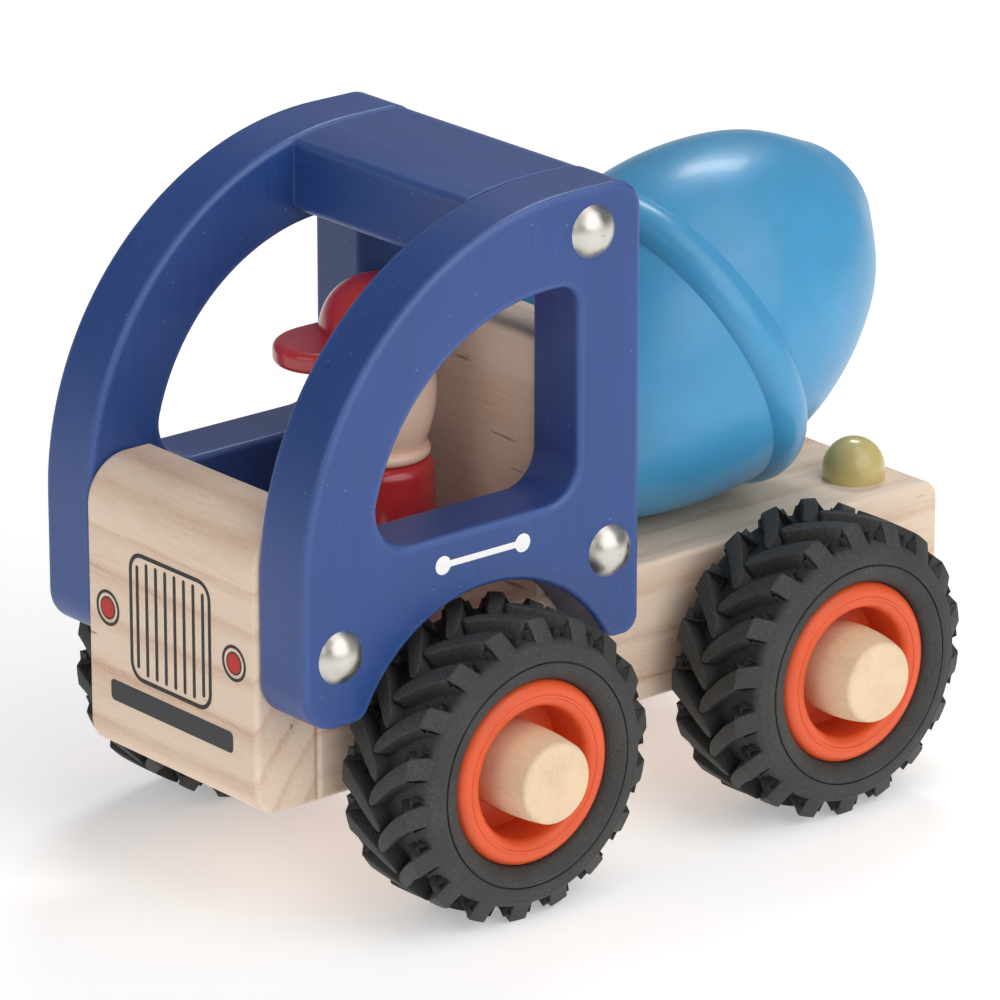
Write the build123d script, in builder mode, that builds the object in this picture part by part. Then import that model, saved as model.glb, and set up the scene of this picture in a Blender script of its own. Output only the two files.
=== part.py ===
from build123d import *
import os
from math import cos, radians, sin, sqrt, tan

# Toy cement mixer: a wooden push-along truck.
# Millimetres. +Z up, the cab's nose faces -Y, +X is the truck's left side.
# The origin is on the ground, under the middle of the truck.

# ---- driving dimensions ----
body_width = 45.0          # width of the chassis, the nose block and the cab's cross pieces
truck_length = 151.2       # nose face to tail
chassis_bottom = 20.9
chassis_top = 45.6
edge_round = 1.0           # sanded edge of every board

front = -truck_length / 2  # Y of the nose face
rear = truck_length / 2
side = body_width / 2      # X of the chassis' side faces

nose_thick = 12.7
nose_top = 71.1
nose_top_round = 8.0
nose_foot_round = 4.5
tail_round = 3.5

plate_thick = 12.0         # cab side boards
plate_front = front + 0.6  # Y of the boards' front edge
plate_back = front + 71.5
plate_top = 119.0
roof_radius = 57.0         # quarter round from the windscreen edge to the roof
back_corner = 5.5
front_leg_bottom = 38.5
front_leg_round = 6.5
rear_leg_bottom = 40.0
leg_round = 3.2

window_sill = 66.3
window_radius = 37.7
window_arc_z = 65.4        # centre height of the window's quarter round
window_centre_y = front + 52.5
window_back = front + 58.2
window_front_round = 7.0
window_sill_round = 6.5
window_top_round = 4.0

wall_thick = 12.0          # board behind the driver
wall_back = plate_back - 0.2
wall_top = 90.7
beam_depth = 27.3          # roof cross piece, front to back
beam_bottom = 105.0
beam_drop = 0.2            # the cross piece's top under the boards' roof line

nail_head_radius = 4.5
nail_head_height = 2.6
nail_shank_radius = 1.1
nail_length = 24.0         # under the head

dowel_radius = 4.0
dowel_spacing = 24.0
nose_dowel_in_nose = 8.0
nose_dowel_in_chassis = 18.0
nose_dowel_z = 37.4        # above the axle
peg_depth = 12.0           # holes in the chassis' top
wall_dowel_rise = 8.0      # holes in the foot of the wall, under the nails
beam_front_round = 1.2
wall_top_round = 1.2

wheel_radius = 26.1
wheelbase = 71.3
front_wheel_y = front + 39.1
wheel_mid_x = 36.0         # X of the wheels' middle plane
arch_centre_y = front + 39.3
arch_centre_z = 26.9
arch_radius = 28.7

axle_radius = 2.5
axle_half_length = 49.0
wheel_bore_radius = axle_radius + 0.06
washer_radius = 6.0
washer_thick = 1.1

rim_inner_x = 24.0
rim_outer_x = 46.3
rim_lip_radius = 15.9
rim_back_lip_radius = 15.2
rim_barrel_radius = 13.4
rim_dish_radius = 11.4
rim_floor_x = 37.5
rim_wall = 2.0
rim_hub_radius = 5.2
rim_ribs = 6

cap_end_x = 51.8
cap_base_radius = 7.4
front_cap_belly_radius = 7.6
rear_cap_belly_radius = 8.05
cap_end_radius = 6.9
cap_gap = 0.4              # play between the cap and the rim's floor

tread_floor_radius = 22.9
sidewall_radius = 19.0
sidewall_half = 10.9
lugs_per_side = 18
lug_width = 3.9
lug_sweep = 9.0            # how far a lug runs round the tyre from shoulder to middle
lug_reach = 0.9            # how far a lug passes the middle plane

drum_tilt = 26.6           # degrees, tail end up
drum_y = front + 107.2     # middle of the drum's band
drum_z = 76.0
band_radius = 31.3
band_half = 4.35
front_crease_radius = 28.9
rear_crease_radius = 27.9
egg_length = 40.5          # tail lobe, from the band to its tip
egg_power = 1.88           # superellipse power of the tail lobe
drum_front = -33.5         # along the drum's axis, from the middle of the band
drum_front_radius = 11.0
cone_end = -30.3
cone_end_radius = 17.4
cone_mid = -18.0
cone_mid_radius = 24.5
drum_axle_radius = 3.0
drum_bore_radius = drum_axle_radius + 0.06
drum_axle_head_radius = 5.0
drum_recess_radius = 5.3
drum_recess_floor = 39.9
drum_axle_end = -50.0
drum_washer_thick = 1.2
drum_washer_radius = 8.5
support_face = -35.0       # the support's sloping face, along the drum's axis
support_width = 24.0

driver_y = front + 44.0
driver_radius = 9.4
driver_body_top = 68.1
driver_neck_radius = 7.6
driver_head_radius = 9.7
driver_crown_radius = 9.9
visor_reach = 20.0
visor_half_width = 9.0
visor_thick = 3.6
driver_dowel_radius = 2.5
driver_shoulder_round = 2.2
driver_collar = 2.2        # height of the rounded collar under the chin
driver_cheek_z = 78.9
driver_cap_seat = 86.8
driver_head_seat_radius = 8.6
driver_crown_height = 12.6
driver_dowel_in_head = 10.0
visor_round = 1.2
cone_end_round = 3.0
drum_axle_play = 0.1
drum_axle_tip = 44.4
drum_axle_crown = 1.2
drum_axle_crown_slope = 0.4
axle_chamfer = 0.5
rim_lip_thick = 3.2
rim_lip_round = 2.0
rim_mouth_round = 1.6
rim_rib_depth = 9.0
cap_belly_x = 44.5
cap_round = 0.9
tread_half = 8.6
shoulder_slope = 0.7       # lean of the carcass where the tread turns into the sidewall
bead_set_in = 1.8
lug_end_width = 3.3
lug_root_radius = 20.4
lug_foot_radius = 21.0
lug_set_in = 0.5
lug_crown_half = 7.8

tail_peg_x = 12.4
tail_peg_y = front + 140.4
tail_peg_radius = 5.5
tail_peg_foot = 1.9
tail_peg_tenon_radius = 3.0
tail_peg_tenon_length = 12.0

# ---- places worked out from the dimensions ----
wall_front = wall_back - wall_thick
wall_mid = (wall_front + wall_back) / 2
rear_wheel_y = front_wheel_y + wheelbase
roof_centre = (plate_front + roof_radius, plate_top - roof_radius)
nail_bite = nail_length - plate_thick
nose_dowel_places = [(-dowel_spacing / 2, nose_dowel_z), (dowel_spacing / 2, nose_dowel_z)]
wall_dowel_places = [(-dowel_spacing / 2, wall_mid), (dowel_spacing / 2, wall_mid)]
nail_places = [
    (front + 8.0, 50.6),
    (front + 61.0, 111.5),
    (front + 64.9, 55.7),
]
drum_axis_dir = (0, cos(radians(drum_tilt)), sin(radians(drum_tilt)))
drum_axis = Axis((0, drum_y, drum_z), drum_axis_dir)
# local x runs along the drum's axis towards the tail, local y is the radius
drum_plane = Plane(origin=(0, drum_y, drum_z), x_dir=drum_axis_dir, z_dir=(1, 0, 0))


support_face_point = (
    drum_y + support_face * cos(radians(drum_tilt)),
    drum_z + support_face * sin(radians(drum_tilt)),
)


def on_drum_axis(distance):
    """Plane across the drum's axis, this far from the middle of its band."""
    step = Vector(*drum_axis_dir) * distance
    return Plane(origin=Vector(0, drum_y, drum_z) + step, x_dir=(1, 0, 0), z_dir=drum_axis_dir)


def side_plane(x):
    """Plane facing +X, with local x along Y and local y along Z."""
    return Plane(origin=(x, 0, 0), x_dir=(0, 1, 0), z_dir=(1, 0, 0))


def wheel_plane(y):
    """Plane through a wheel's axis, with local x along X and local y the radius."""
    return Plane(origin=(0, y, wheel_radius), x_dir=(1, 0, 0), z_dir=(0, -1, 0))


parts = {}


def finish(name, builder):
    """Label a finished piece and keep it for writing."""
    builder.part.label = name
    parts[name] = builder.part


# ---- chassis ----
with BuildPart() as chassis:
    with BuildSketch(side_plane(-side)) as outline:
        with Locations(((front + nose_thick + rear) / 2, (chassis_bottom + chassis_top) / 2)):
            Rectangle(truck_length - nose_thick, chassis_top - chassis_bottom)
        fillet(outline.vertices().group_by(Axis.X)[-1], tail_round)
    extrude(amount=body_width)
    fillet(chassis.edges().filter_by(Plane.YZ), edge_round)
    # axle bores, straight across
    with BuildSketch(side_plane(-side)):
        with Locations((front_wheel_y, wheel_radius), (rear_wheel_y, wheel_radius)):
            Circle(axle_radius)
    extrude(amount=body_width, mode=Mode.SUBTRACT)
    # dowel holes in the front end
    with BuildSketch(Plane.XZ.offset(-(front + nose_thick))):
        with Locations(*nose_dowel_places):
            Circle(dowel_radius)
    extrude(amount=-nose_dowel_in_chassis, mode=Mode.SUBTRACT)
    # holes in the top for the wall's dowels, the driver's dowel and the tail pegs
    with BuildSketch(Plane.XY.offset(chassis_top)):
        with Locations(*wall_dowel_places):
            Circle(dowel_radius)
        with Locations((0, driver_y)):
            Circle(driver_dowel_radius)
        with Locations((-tail_peg_x, tail_peg_y), (tail_peg_x, tail_peg_y)):
            Circle(tail_peg_tenon_radius)
    extrude(amount=-peg_depth, mode=Mode.SUBTRACT)
finish("chassis", chassis)

# ---- nose block, a board standing across the front ----
with BuildPart() as nose_block:
    with BuildSketch(side_plane(-side)) as outline:
        with Locations((front + nose_thick / 2, (chassis_bottom + nose_top) / 2)):
            Rectangle(nose_thick, nose_top - chassis_bottom)
        fillet(outline.vertices().group_by(Axis.X)[0].sort_by(Axis.Y)[0], nose_foot_round)
        fillet(outline.vertices().group_by(Axis.Y)[-1].sort_by(Axis.X)[0], nose_top_round)
    extrude(amount=body_width)
    fillet(nose_block.edges().filter_by(Plane.YZ), edge_round)
    with BuildSketch(Plane.XZ.offset(-(front + nose_thick))):
        with Locations(*nose_dowel_places):
            Circle(dowel_radius)
    extrude(amount=nose_dowel_in_nose, mode=Mode.SUBTRACT)
    with BuildSketch(side_plane(-side)):
        with Locations(nail_places[0]):
            Circle(nail_shank_radius)
    extrude(amount=nail_bite, mode=Mode.SUBTRACT)
    with BuildSketch(side_plane(side)):
        with Locations(nail_places[0]):
            Circle(nail_shank_radius)
    extrude(amount=-nail_bite, mode=Mode.SUBTRACT)
finish("nose_block", nose_block)

# ---- cab side board, with its window, its wheel arch and the nail holes ----
arch_foot_rear = arch_centre_y + sqrt(arch_radius**2 - (rear_leg_bottom - arch_centre_z) ** 2)
arch_foot_front = arch_centre_y - sqrt(arch_radius**2 - (front_leg_bottom - arch_centre_z) ** 2)
roof_mid = (
    roof_centre[0] - roof_radius * cos(radians(45)),
    roof_centre[1] + roof_radius * sin(radians(45)),
)
window_mid = (
    window_centre_y - window_radius * cos(radians(45)),
    window_arc_z + window_radius * sin(radians(45)),
)
window_top = window_arc_z + window_radius
window_front = window_centre_y - sqrt(window_radius**2 - (window_sill - window_arc_z) ** 2)
with BuildPart() as cab_side_left:
    with BuildSketch(side_plane(side)) as outline:
        with BuildLine():
            Polyline(
                (arch_foot_front, front_leg_bottom),
                (plate_front, front_leg_bottom),
                (plate_front, roof_centre[1]),
            )
            ThreePointArc((plate_front, roof_centre[1]), roof_mid, (roof_centre[0], plate_top))
            Polyline(
                (roof_centre[0], plate_top),
                (plate_back, plate_top),
                (plate_back, rear_leg_bottom),
                (arch_foot_rear, rear_leg_bottom),
            )
            ThreePointArc(
                (arch_foot_rear, rear_leg_bottom),
                (arch_centre_y, arch_centre_z + arch_radius),
                (arch_foot_front, front_leg_bottom),
            )
        make_face()
        fillet(outline.vertices().filter_by_position(Axis.Y, rear_leg_bottom, rear_leg_bottom), leg_round)
        fillet(outline.vertices().group_by(Axis.Y)[0].sort_by(Axis.X)[-1], leg_round)
        fillet(outline.vertices().group_by(Axis.Y)[0].sort_by(Axis.X)[0], front_leg_round)
        fillet(outline.vertices().group_by(Axis.Y)[-1].sort_by(Axis.X)[-1], back_corner)
    extrude(amount=plate_thick)
    with BuildSketch(side_plane(side)) as window:
        with BuildLine():
            Polyline(
                (window_front, window_sill),
                (window_back, window_sill),
                (window_back, window_top),
                (window_centre_y, window_top),
            )
            ThreePointArc((window_centre_y, window_top), window_mid, (window_front, window_sill))
        make_face()
        fillet(window.vertices().group_by(Axis.Y)[-1].sort_by(Axis.X)[-1], window_top_round)
        fillet(window.vertices().group_by(Axis.Y)[0].sort_by(Axis.X)[-1], window_sill_round)
        fillet(window.vertices().group_by(Axis.Y)[0].sort_by(Axis.X)[0], window_front_round)
    extrude(amount=plate_thick, mode=Mode.SUBTRACT)
    fillet(cab_side_left.edges().filter_by(Plane.YZ), edge_round)
    with BuildSketch(side_plane(side)):
        with Locations(*nail_places):
            Circle(nail_shank_radius)
    extrude(amount=plate_thick, mode=Mode.SUBTRACT)
finish("cab_side_left", cab_side_left)

with BuildPart() as cab_side_right:
    mirror(cab_side_left.part, about=Plane.YZ)
finish("cab_side_right", cab_side_right)

# ---- roof beam between the side boards ----
beam_front = plate_back - beam_depth
beam_arc_radius = roof_radius - beam_drop


def beam_arc_point(y):
    """Point of the cross piece's curved top, in the sketch's own plane."""
    return (y, roof_centre[1] + sqrt(beam_arc_radius**2 - (y - roof_centre[0]) ** 2))


with BuildPart() as roof_beam:
    with BuildSketch(side_plane(-side)) as outline:
        with BuildLine():
            ThreePointArc(
                beam_arc_point(beam_front),
                beam_arc_point((beam_front + roof_centre[0]) / 2),
                beam_arc_point(roof_centre[0]),
            )
            Polyline(
                beam_arc_point(roof_centre[0]),
                (plate_back, plate_top - beam_drop),
                (plate_back, beam_bottom),
                (beam_front, beam_bottom),
                beam_arc_point(beam_front),
            )
        make_face()
        fillet(outline.vertices().group_by(Axis.Y)[-1].sort_by(Axis.X)[-1], back_corner)
        fillet(outline.vertices().group_by(Axis.X)[0], beam_front_round)
    extrude(amount=body_width)
    with BuildSketch(side_plane(-side)):
        with Locations(nail_places[1]):
            Circle(nail_shank_radius)
    extrude(amount=nail_bite, mode=Mode.SUBTRACT)
    with BuildSketch(side_plane(side)):
        with Locations(nail_places[1]):
            Circle(nail_shank_radius)
    extrude(amount=-nail_bite, mode=Mode.SUBTRACT)
finish("roof_beam", roof_beam)

# ---- board behind the driver ----
with BuildPart() as cab_rear_wall:
    with BuildSketch(side_plane(-side)) as outline:
        with Locations((wall_mid, (chassis_top + wall_top) / 2)):
            Rectangle(wall_thick, wall_top - chassis_top)
        fillet(outline.vertices().group_by(Axis.Y)[-1], wall_top_round)
    extrude(amount=body_width)
    with BuildSketch(Plane.XY.offset(chassis_top)):
        with Locations(*wall_dowel_places):
            Circle(dowel_radius)
    extrude(amount=wall_dowel_rise, mode=Mode.SUBTRACT)
    with BuildSketch(side_plane(-side)):
        with Locations(nail_places[2]):
            Circle(nail_shank_radius)
    extrude(amount=nail_bite, mode=Mode.SUBTRACT)
    with BuildSketch(side_plane(side)):
        with Locations(nail_places[2]):
            Circle(nail_shank_radius)
    extrude(amount=-nail_bite, mode=Mode.SUBTRACT)
    # the drum's axle ends in a sloping blind hole
    with BuildSketch(on_drum_axis(drum_axle_end)):
        Circle(drum_axle_radius)
    extrude(amount=-drum_axle_end, mode=Mode.SUBTRACT)
finish("cab_rear_wall", cab_rear_wall)

# ---- dowels inside the frame ----
with BuildPart() as nose_dowels:
    with BuildSketch(Plane.XZ.offset(-(front + nose_thick - nose_dowel_in_nose))):
        with Locations(*nose_dowel_places):
            Circle(dowel_radius)
    extrude(amount=-(nose_dowel_in_nose + nose_dowel_in_chassis))
finish("nose_dowels", nose_dowels)

with BuildPart() as wall_dowels:
    with BuildSketch(Plane.XY.offset(chassis_top - peg_depth)):
        with Locations(*wall_dowel_places):
            Circle(dowel_radius)
    extrude(amount=peg_depth + wall_dowel_rise)
finish("wall_dowels", wall_dowels)

# ---- nails with domed heads, three through each side board ----
nail_face = side + plate_thick
nail_tip = nail_face - nail_length
dome_radius = (nail_head_radius**2 + nail_head_height**2) / (2 * nail_head_height)
with BuildPart() as nail:
    with BuildSketch(Plane.XY):
        with BuildLine():
            Polyline(
                (nail_face + nail_head_height, 0),
                (nail_tip, 0),
                (nail_tip + 2 * nail_shank_radius, nail_shank_radius),
                (nail_face, nail_shank_radius),
                (nail_face, nail_head_radius),
            )
            RadiusArc((nail_face, nail_head_radius), (nail_face + nail_head_height, 0), dome_radius)
        make_face()
    revolve(axis=Axis.X)

with BuildPart() as cab_nails_left:
    with Locations(*[(0, y, z) for y, z in nail_places]):
        add(nail.part)
finish("cab_nails_left", cab_nails_left)

with BuildPart() as cab_nails_right:
    mirror(cab_nails_left.part, about=Plane.YZ)
finish("cab_nails_right", cab_nails_right)

# ---- driver: turned body, head and cap on one dowel ----
driver_plane = Plane(origin=(0, driver_y, 0), x_dir=(1, 0, 0), z_dir=(0, -1, 0))
driver_axis = Axis((0, driver_y, 0), (0, 0, 1))
dowel_top = driver_body_top + driver_dowel_in_head
with BuildPart() as driver_body:
    with BuildSketch(driver_plane) as half_section:
        with Locations(((driver_dowel_radius + driver_radius) / 2, (chassis_top + driver_body_top) / 2)):
            Rectangle(driver_radius - driver_dowel_radius, driver_body_top - chassis_top)
        shoulder = half_section.vertices().group_by(Axis.Y)[-1].sort_by(Axis.X)[-1]
        fillet(shoulder, driver_shoulder_round)
        hem = half_section.vertices().group_by(Axis.Y)[0].sort_by(Axis.X)[-1]
        fillet(hem, edge_round)
    revolve(axis=driver_axis)
finish("driver_body", driver_body)

with BuildPart() as driver_head:
    with BuildSketch(driver_plane):
        with BuildLine():
            Polyline((0, driver_cap_seat), (0, driver_body_top), (driver_neck_radius, driver_body_top))
            ThreePointArc(
                (driver_neck_radius, driver_body_top),
                (driver_neck_radius + driver_collar / 2, driver_body_top + driver_collar / 2),
                (driver_neck_radius, driver_body_top + driver_collar),
            )
            ThreePointArc(
                (driver_neck_radius, driver_body_top + driver_collar),
                (driver_head_radius, driver_cheek_z),
                (driver_head_seat_radius, driver_cap_seat),
            )
            Line((driver_head_seat_radius, driver_cap_seat), (0, driver_cap_seat))
        make_face()
    revolve(axis=driver_axis)
    with BuildSketch(Plane.XY.offset(driver_body_top)):
        with Locations((0, driver_y)):
            Circle(driver_dowel_radius)
    extrude(amount=driver_dowel_in_head, mode=Mode.SUBTRACT)
finish("driver_head", driver_head)

with BuildPart() as driver_cap:
    with BuildSketch(Plane.XY.offset(driver_cap_seat)):
        with Locations((0, driver_y)):
            Circle(driver_crown_radius)
        with Locations((0, driver_y - visor_reach / 4)):
            Rectangle(2 * visor_half_width, visor_reach / 2)
        with Locations((0, driver_y - visor_reach / 2)):
            Ellipse(visor_half_width, visor_reach / 2)
    extrude(amount=visor_thick)
    fillet(driver_cap.edges().group_by(Axis.Z)[-1], visor_round)
    fillet(driver_cap.edges().group_by(Axis.Z)[0], visor_round)
    with BuildSketch(driver_plane):
        with BuildLine():
            Polyline(
                (0, driver_cap_seat + driver_crown_height),
                (0, driver_cap_seat),
                (driver_crown_radius, driver_cap_seat),
                (driver_crown_radius, driver_cap_seat + visor_thick),
            )
            ThreePointArc(
                (driver_crown_radius, driver_cap_seat + visor_thick),
                (
                    driver_crown_radius * cos(radians(45)),
                    driver_cap_seat + visor_thick + (driver_crown_height - visor_thick) * sin(radians(45)),
                ),
                (0, driver_cap_seat + driver_crown_height),
            )
        make_face()
    revolve(axis=driver_axis)
finish("driver_cap", driver_cap)

with BuildPart() as driver_dowel:
    with BuildSketch(Plane.XY.offset(chassis_top - peg_depth)):
        with Locations((0, driver_y)):
            Circle(driver_dowel_radius)
    extrude(amount=dowel_top - (chassis_top - peg_depth))
finish("driver_dowel", driver_dowel)

# ---- drum: one turned piece, a cone, a raised band and an egg-shaped tail ----
egg_points = [
    (band_half + egg_length * t, rear_crease_radius * (1 - t**egg_power) ** (1 / egg_power))
    for t in (0, 0.3, 0.55, 0.75, 0.9, 1)
]
with BuildPart() as drum:
    with BuildSketch(drum_plane) as half_section:
        with BuildLine():
            Polyline(
                egg_points[-1],
                (drum_front, 0),
                (drum_front, drum_front_radius),
                (cone_end, cone_end_radius),
            )
            ThreePointArc(
                (cone_end, cone_end_radius),
                (cone_mid, cone_mid_radius),
                (-band_half, front_crease_radius),
            )
            ThreePointArc(
                (-band_half, front_crease_radius),
                (0, band_radius),
                (band_half, rear_crease_radius),
            )
            Spline(*egg_points, tangents=[(1, 0), (0, -1)])
        make_face()
        fillet(half_section.vertices().filter_by_position(Axis.X, cone_end, cone_end), cone_end_round)
        front_rim = half_section.vertices().filter_by_position(Axis.X, drum_front, drum_front)
        fillet(front_rim.sort_by(Axis.Y)[-1], cone_end_round)
    revolve(axis=drum_axis)
    with BuildSketch(on_drum_axis(drum_front)):
        Circle(drum_bore_radius)
    extrude(amount=egg_length + band_half - drum_front, mode=Mode.SUBTRACT)
    with BuildSketch(on_drum_axis(drum_recess_floor)):
        Circle(drum_recess_radius)
    extrude(amount=2 * drum_recess_radius, mode=Mode.SUBTRACT)
finish("drum", drum)

# a headed pin, pushed through the drum from the tail into the support and the wall
with BuildPart() as drum_axle:
    with BuildSketch(drum_plane) as half_section:
        with BuildLine():
            Polyline(
                (drum_axle_tip, 0),
                (drum_axle_end, 0),
                (drum_axle_end, drum_axle_radius),
                (drum_recess_floor + drum_axle_play, drum_axle_radius),
                (drum_recess_floor + drum_axle_play, drum_axle_head_radius),
                (drum_axle_tip - drum_axle_crown, drum_axle_head_radius),
            )
            Spline(
                (drum_axle_tip - drum_axle_crown, drum_axle_head_radius),
                (drum_axle_tip, 0),
                tangents=[(1, -drum_axle_crown_slope), (0, -1)],
            )
        make_face()
    revolve(axis=drum_axis)
finish("drum_axle", drum_axle)

# a wedge glued between the bed and the wall, square to the drum's axis
face_foot_y = support_face_point[0] + (support_face_point[1] - chassis_top) * tan(radians(drum_tilt))
face_top_z = support_face_point[1] + (support_face_point[0] - wall_back) / tan(radians(drum_tilt))
with BuildPart() as drum_support:
    with BuildSketch(side_plane(-support_width / 2)):
        Polygon(
            (wall_back, chassis_top),
            (face_foot_y, chassis_top),
            (wall_back, face_top_z),
            align=None,
        )
    extrude(amount=support_width)
    with BuildSketch(on_drum_axis(drum_axle_end)):
        Circle(drum_axle_radius)
    extrude(amount=-drum_axle_end, mode=Mode.SUBTRACT)
finish("drum_support", drum_support)

with BuildPart() as drum_washer:
    with BuildSketch(on_drum_axis(support_face)):
        Circle(drum_washer_radius)
        Circle(drum_bore_radius, mode=Mode.SUBTRACT)
    extrude(amount=drum_washer_thick)
finish("drum_washer", drum_washer)

# ---- domed pegs at the tail ----
with BuildPart() as tail_peg_left:
    with BuildSketch(Plane(origin=(tail_peg_x, tail_peg_y, 0), x_dir=(1, 0, 0), z_dir=(0, -1, 0))):
        with BuildLine():
            Polyline(
                (0, chassis_top + tail_peg_foot + tail_peg_radius),
                (0, chassis_top - tail_peg_tenon_length),
                (tail_peg_tenon_radius, chassis_top - tail_peg_tenon_length),
                (tail_peg_tenon_radius, chassis_top),
                (tail_peg_radius, chassis_top),
                (tail_peg_radius, chassis_top + tail_peg_foot),
            )
            RadiusArc(
                (tail_peg_radius, chassis_top + tail_peg_foot),
                (0, chassis_top + tail_peg_foot + tail_peg_radius),
                -tail_peg_radius,
            )
        make_face()
    revolve(axis=Axis((tail_peg_x, tail_peg_y, 0), (0, 0, 1)))
finish("tail_peg_left", tail_peg_left)

with BuildPart() as tail_peg_right:
    mirror(tail_peg_left.part, about=Plane.YZ)
finish("tail_peg_right", tail_peg_right)

# ---- axles ----
for end, y in (("front", front_wheel_y), ("rear", rear_wheel_y)):
    with BuildPart() as axle:
        with BuildSketch(side_plane(-axle_half_length)):
            with Locations((y, wheel_radius)):
                Circle(axle_radius)
        extrude(amount=2 * axle_half_length)
        chamfer(axle.edges(), axle_chamfer)
    finish(f"{end}_axle", axle)

# ---- wheel: rim, tyre, hub cap and washer, made once for the front left ----
first_wheel = wheel_plane(front_wheel_y)
first_wheel_axis = Axis((0, front_wheel_y, wheel_radius), (1, 0, 0))
with BuildPart() as rim:
    with BuildSketch(first_wheel) as half_section:
        with BuildLine():
            Polyline(
                (rim_inner_x, wheel_bore_radius),
                (rim_floor_x, wheel_bore_radius),
                (rim_floor_x, rim_dish_radius),
                (rim_outer_x, rim_dish_radius),
                (rim_outer_x, rim_lip_radius),
                (rim_outer_x - rim_lip_thick, rim_lip_radius),
                (rim_outer_x - rim_lip_thick, rim_barrel_radius),
                (rim_inner_x + rim_wall, rim_barrel_radius),
                (rim_inner_x + rim_wall, rim_back_lip_radius),
                (rim_inner_x, rim_back_lip_radius),
                (rim_inner_x, rim_dish_radius),
                (rim_floor_x - rim_wall, rim_dish_radius),
                (rim_floor_x - rim_wall, rim_hub_radius),
                (rim_inner_x, rim_hub_radius),
                close=True,
            )
        make_face()
        lip_corners = half_section.vertices().group_by(Axis.X)[-1].sort_by(Axis.Y)
        fillet(lip_corners[-1], rim_lip_round)
        fillet(half_section.vertices().group_by(Axis.X)[-1].sort_by(Axis.Y)[0], rim_mouth_round)
    revolve(axis=first_wheel_axis)
    # ribs between the hub and the barrel, on the chassis side
    with BuildSketch(Plane.YZ.offset(rim_floor_x - rim_wall)):
        with Locations((front_wheel_y, wheel_radius)):
            with PolarLocations((rim_hub_radius + rim_dish_radius) / 2, rim_ribs):
                Rectangle(rim_dish_radius - rim_hub_radius + rim_wall, rim_wall)
    extrude(amount=-rim_rib_depth)

# the rear caps are turned with a fuller belly than the front ones
hub_caps = {}
for end, belly_radius in (("front", front_cap_belly_radius), ("rear", rear_cap_belly_radius)):
    with BuildPart() as hub_cap:
        with BuildSketch(first_wheel) as half_section:
            with BuildLine():
                Polyline(
                    (cap_end_x, cap_end_radius),
                    (cap_end_x, 0),
                    (axle_half_length, 0),
                    (axle_half_length, axle_radius),
                    (rim_floor_x + cap_gap, axle_radius),
                    (rim_floor_x + cap_gap, cap_base_radius),
                )
                ThreePointArc(
                    (rim_floor_x + cap_gap, cap_base_radius),
                    (cap_belly_x, belly_radius),
                    (cap_end_x, cap_end_radius),
                )
            make_face()
            fillet(half_section.vertices().group_by(Axis.X)[-1].sort_by(Axis.Y)[-1], cap_round)
        revolve(axis=first_wheel_axis)
    hub_caps[end] = hub_cap

with BuildPart() as washer:
    with BuildSketch(Plane.YZ.offset(side)):
        with Locations((front_wheel_y, wheel_radius)):
            Circle(washer_radius)
            Circle(axle_radius, mode=Mode.SUBTRACT)
    extrude(amount=washer_thick)

# the tyre's carcass fills the rim between its lips; its two sidewalls bulge past them
with BuildPart() as carcass:
    with BuildSketch(first_wheel):
        with BuildLine():
            Polyline(
                (wheel_mid_x, tread_floor_radius),
                (wheel_mid_x + tread_half, tread_floor_radius),
            )
            Spline(
                (wheel_mid_x + tread_half, tread_floor_radius),
                (wheel_mid_x + sidewall_half, sidewall_radius),
                (rim_outer_x - bead_set_in, rim_lip_radius),
                tangents=[(1, -shoulder_slope), (-shoulder_slope, -1)],
            )
            Polyline(
                (rim_outer_x - bead_set_in, rim_lip_radius),
                (rim_outer_x - rim_lip_thick, rim_lip_radius),
                (rim_outer_x - rim_lip_thick, rim_barrel_radius),
                (rim_inner_x + rim_wall, rim_barrel_radius),
                (rim_inner_x + rim_wall, rim_back_lip_radius),
                (rim_inner_x + bead_set_in / 2, rim_back_lip_radius),
            )
            Spline(
                (rim_inner_x + bead_set_in / 2, rim_back_lip_radius),
                (wheel_mid_x - sidewall_half, sidewall_radius),
                (wheel_mid_x - tread_half, tread_floor_radius),
                tangents=[(-shoulder_slope, 1), (1, shoulder_slope)],
            )
            Line((wheel_mid_x - tread_half, tread_floor_radius), (wheel_mid_x, tread_floor_radius))
        make_face()
    revolve(axis=first_wheel_axis)

# chevron lugs: slanting bars, trimmed to the tyre's rounded outline
with BuildPart() as lugs:
    for half, start in ((1, 0), (-1, 0.5)):
        for step in range(lugs_per_side):
            turn = (step + start) * 360 / lugs_per_side
            base = Plane(
                origin=(wheel_mid_x, front_wheel_y, wheel_radius),
                x_dir=(1, 0, 0),
                z_dir=(0, sin(radians(turn)), cos(radians(turn))),
            ).offset(lug_root_radius)
            with BuildSketch(base):
                Polygon(
                    (-half * lug_reach, -(lug_sweep + lug_end_width) / 2),
                    (half * sidewall_half, (lug_sweep - lug_width) / 2),
                    (half * sidewall_half, (lug_sweep + lug_width) / 2),
                    (-half * lug_reach, -(lug_sweep - lug_end_width) / 2),
                    align=None,
                )
            extrude(amount=wheel_radius - lug_root_radius + 1)
    with BuildSketch(first_wheel):
        Polygon(
            (wheel_mid_x - sidewall_half + lug_set_in, lug_foot_radius),
            (wheel_mid_x - lug_crown_half, wheel_radius),
            (wheel_mid_x + lug_crown_half, wheel_radius),
            (wheel_mid_x + sidewall_half - lug_set_in, lug_foot_radius),
            align=None,
        )
    revolve(axis=first_wheel_axis, mode=Mode.INTERSECT)

with BuildPart() as tyre:
    add(carcass.part)
    add(lugs.part)

with BuildPart() as wheel_washers:
    for y in (0, wheelbase):
        with Locations((0, y, 0)):
            add(washer.part)
    mirror(about=Plane.YZ)
finish("wheel_washers", wheel_washers)

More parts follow.
